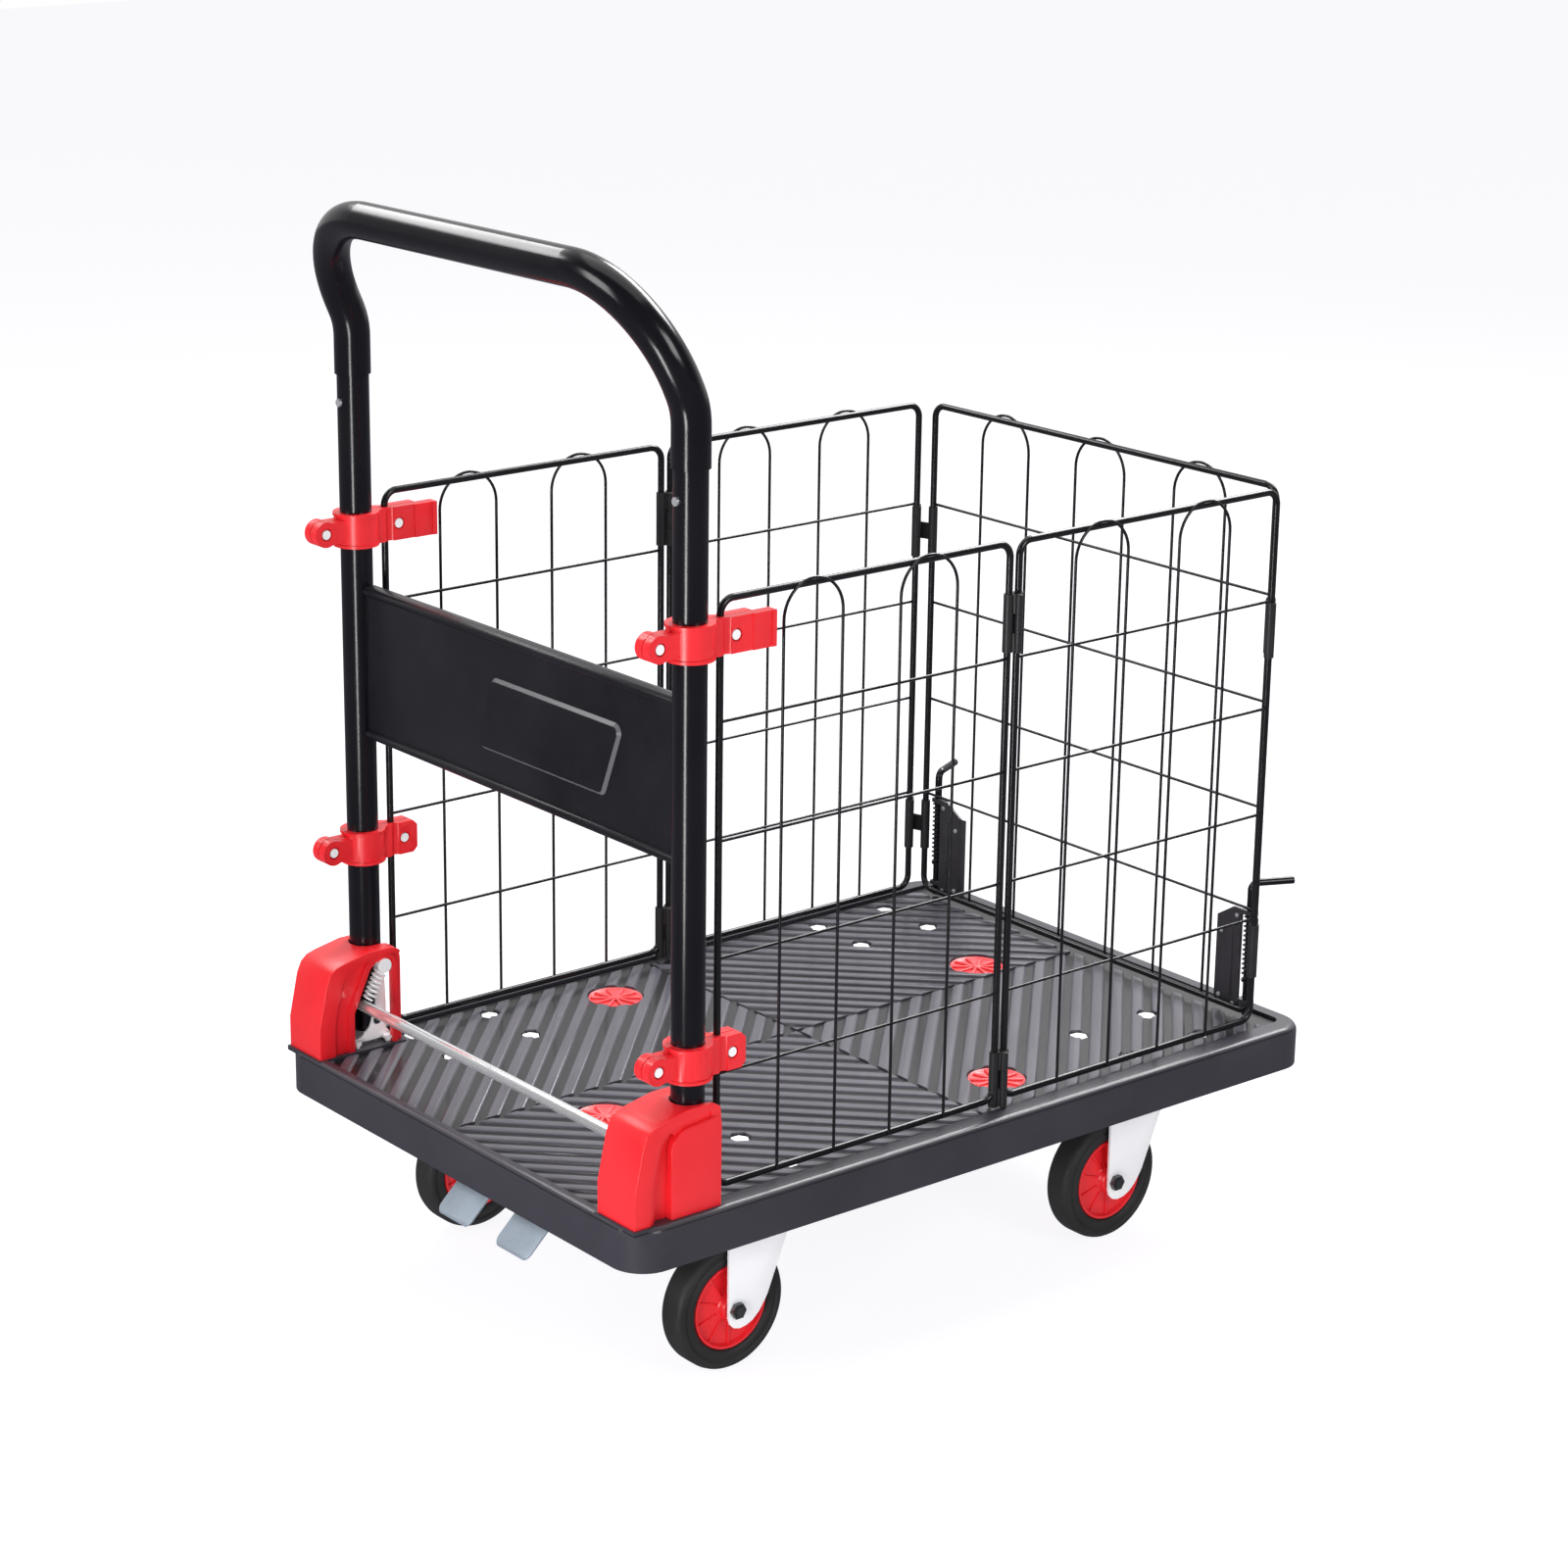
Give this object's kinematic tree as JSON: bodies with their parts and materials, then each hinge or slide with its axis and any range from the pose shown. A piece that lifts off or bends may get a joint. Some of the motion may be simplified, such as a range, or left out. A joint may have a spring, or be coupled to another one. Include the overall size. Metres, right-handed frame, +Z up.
{
  "type": "platform cart",
  "caption": "Push cart with a ribbed rectangular deck on swivel and fixed casters, an upright tube handle on covered feet, and hinged wire mesh sides",
  "frame": {"origin": "on the floor, under the middle of the cart", "axes": "+X from the push handle towards the far end, +Y to the left, +Z up"},
  "size_m": [0.9124, 0.6, 1.095],
  "materials": {
    "deck_plastic": "satin",
    "black_plastic": "satin",
    "red_plastic": "semi-gloss",
    "zinc": "zinc plated",
    "zinc_dark": "zinc plated",
    "pedal_steel": "zinc, pale blue cast",
    "chrome": "polished",
    "black_paint": "gloss",
    "black_wire": "gloss",
    "tyre": "matte"
  },
  "bodies": {
    "chassis": {"deck": "deck_plastic", "deck_plugs": "red_plastic", "caster_bolts": "zinc", "swivel_plates": "zinc", "kingpins": "zinc", "rigid_forks": "zinc", "rigid_axles": "zinc_dark", "post_left": "black_paint", "post_right": "black_paint", "handle_tube": "black_paint", "handle_rivets": "zinc", "handle_plate": "black_paint", "foot_cover_left": "red_plastic", "foot_cover_right": "red_plastic", "hinge_brackets": "zinc", "bracket_bolts": "zinc", "bracket_pins": "zinc", "lock_springs": "zinc", "clamp_upper_left": "red_plastic", "clamp_upper_right": "red_plastic", "clamp_lower_left": "red_plastic", "clamp_lower_right": "red_plastic", "clamp_screws": "zinc"},
    "caster_left": {"swivel_fork_left": "zinc", "swivel_axle_left": "zinc_dark"},
    "caster_right": {"swivel_fork_right": "zinc", "swivel_axle_right": "zinc_dark"},
    "front_wheel_left": {"swivel_tyre_left": "tyre", "swivel_hub_left": "red_plastic"},
    "front_wheel_right": {"swivel_tyre_right": "tyre", "swivel_hub_right": "red_plastic"},
    "rear_wheel_left": {"rigid_tyre_left": "tyre", "rigid_hub_left": "red_plastic"},
    "rear_wheel_right": {"rigid_tyre_right": "tyre", "rigid_hub_right": "red_plastic"},
    "pedals": {"brake_pedals": "pedal_steel"},
    "brake_cross_shaft": {"brake_shaft": "zinc"},
    "push_pin_left": {"brake_pin_left": "zinc"},
    "push_pin_right": {"brake_pin_right": "zinc"},
    "release_bar": {"lock_bar": "chrome"},
    "cage_front_left": {"side_front_left": "black_wire", "mid_hinge_left_front": "black_plastic"},
    "cage_rear_left": {"side_rear_left": "black_wire", "mid_hinge_left_rear": "black_plastic", "corner_hinge_left_side": "black_plastic"},
    "cage_front_right": {"side_front_right": "black_wire", "mid_hinge_right_front": "black_plastic"},
    "cage_rear_right": {"side_rear_right": "black_wire", "mid_hinge_right_rear": "black_plastic", "corner_hinge_right_side": "black_plastic"},
    "cage_end": {"end_panel": "black_wire", "corner_hinge_left_end": "black_plastic", "corner_hinge_right_end": "black_plastic", "latch_brackets": "black_paint", "latch_spring_left": "zinc_dark", "latch_spring_right": "zinc_dark"},
    "drop_bolt_left": {"latch_bolt_left": "black_paint"},
    "drop_bolt_right": {"latch_bolt_right": "black_paint"}
  },
  "joints": [
    {"name": "swivel_left", "type": "hinge", "parent": "chassis", "child": "caster_left", "pos_m": [-0.231, 0.21, 0.166], "axis": [0, 0, 1], "continuous": true},
    {"name": "front_wheel_left_spin", "type": "hinge", "parent": "caster_left", "child": "front_wheel_left", "pos_m": [-0.271, 0.21, 0.065], "axis": [0, 1, 0], "continuous": true},
    {"name": "rear_wheel_left_spin", "type": "hinge", "parent": "chassis", "child": "rear_wheel_left", "pos_m": [0.235, 0.21, 0.065], "axis": [0, 1, 0], "continuous": true},
    {"name": "swivel_right", "type": "hinge", "parent": "chassis", "child": "caster_right", "pos_m": [-0.231, -0.21, 0.166], "axis": [0, 0, 1], "continuous": true},
    {"name": "front_wheel_right_spin", "type": "hinge", "parent": "caster_right", "child": "front_wheel_right", "pos_m": [-0.271, -0.21, 0.065], "axis": [0, 1, 0], "continuous": true},
    {"name": "rear_wheel_right_spin", "type": "hinge", "parent": "chassis", "child": "rear_wheel_right", "pos_m": [0.235, -0.21, 0.065], "axis": [0, 1, 0], "continuous": true},
    {"name": "cage_fold", "type": "hinge", "parent": "chassis", "child": "cage_front_left", "pos_m": [-0.327, 0.2685, 0.5], "axis": [0, 0, 1], "range_deg": [0, 85]},
    {"name": "cage_mid_left", "type": "hinge", "parent": "cage_front_left", "child": "cage_rear_left", "pos_m": [0.029, 0.2605, 0.5], "axis": [0, 0, 1], "range_deg": [-171, 1]},
    {"name": "cage_corner_left", "type": "hinge", "parent": "cage_rear_left", "child": "cage_end", "pos_m": [0.392, 0.2745, 0.5], "axis": [0, 0, 1], "range_deg": [-1, 86]},
    {"name": "cage_front_right", "type": "hinge", "parent": "chassis", "child": "cage_front_right", "pos_m": [-0.327, -0.2685, 0.5], "axis": [0, 0, 1], "range_deg": [-1, 86]},
    {"name": "cage_mid_right", "type": "hinge", "parent": "cage_front_right", "child": "cage_rear_right", "pos_m": [0.029, -0.2765, 0.5], "axis": [0, 0, 1], "range_deg": [-171, 1]},
    {"name": "drop_bolt_left", "type": "slide", "parent": "cage_end", "child": "drop_bolt_left", "axis": [0, 0, 1], "range_m": [-0.02, 0], "deforming": ["latch_spring_left"]},
    {"name": "drop_bolt_right", "type": "slide", "parent": "cage_end", "child": "drop_bolt_right", "axis": [0, 0, 1], "range_m": [-0.02, 0], "deforming": ["latch_spring_right"]},
    {"name": "brake", "type": "hinge", "parent": "chassis", "child": "pedals", "pos_m": [-0.4, -0.08, 0.176], "axis": [1, 0, 0], "range_deg": [0, 5]},
    {"name": "brake_shaft_turn", "type": "hinge", "parent": "chassis", "child": "brake_cross_shaft", "pos_m": [-0.203, 0, 0.19], "axis": [0, -1, 0], "range_deg": [-0.5, 10.5]},
    {"name": "brake_pin_left", "type": "slide", "parent": "chassis", "child": "push_pin_left", "axis": [0, 0, -1], "range_m": [-0.0002, 0.005]},
    {"name": "brake_pin_right", "type": "slide", "parent": "chassis", "child": "push_pin_right", "axis": [0, 0, -1], "range_m": [-0.0002, 0.005]},
    {"name": "release", "type": "slide", "parent": "chassis", "child": "release_bar", "axis": [-0.4728, 0, -0.8812], "range_m": [0, 0.01], "stiffness_N_per_m": 1500, "springref_m": -0.008, "deforming": ["lock_springs"]}
  ],
  "couplings": [
    {"joint": "cage_mid_left", "follows": "cage_fold", "ratio": -2},
    {"joint": "cage_corner_left", "follows": "cage_fold", "ratio": 1},
    {"joint": "cage_front_right", "follows": "cage_fold", "ratio": 1},
    {"joint": "cage_mid_right", "follows": "cage_fold", "ratio": -2},
    {"joint": "brake_shaft_turn", "follows": "brake", "ratio": 2},
    {"joint": "brake_pin_left", "follows": "brake", "m_per_rad": 0.055},
    {"joint": "brake_pin_right", "follows": "brake", "m_per_rad": 0.055}
  ]
}
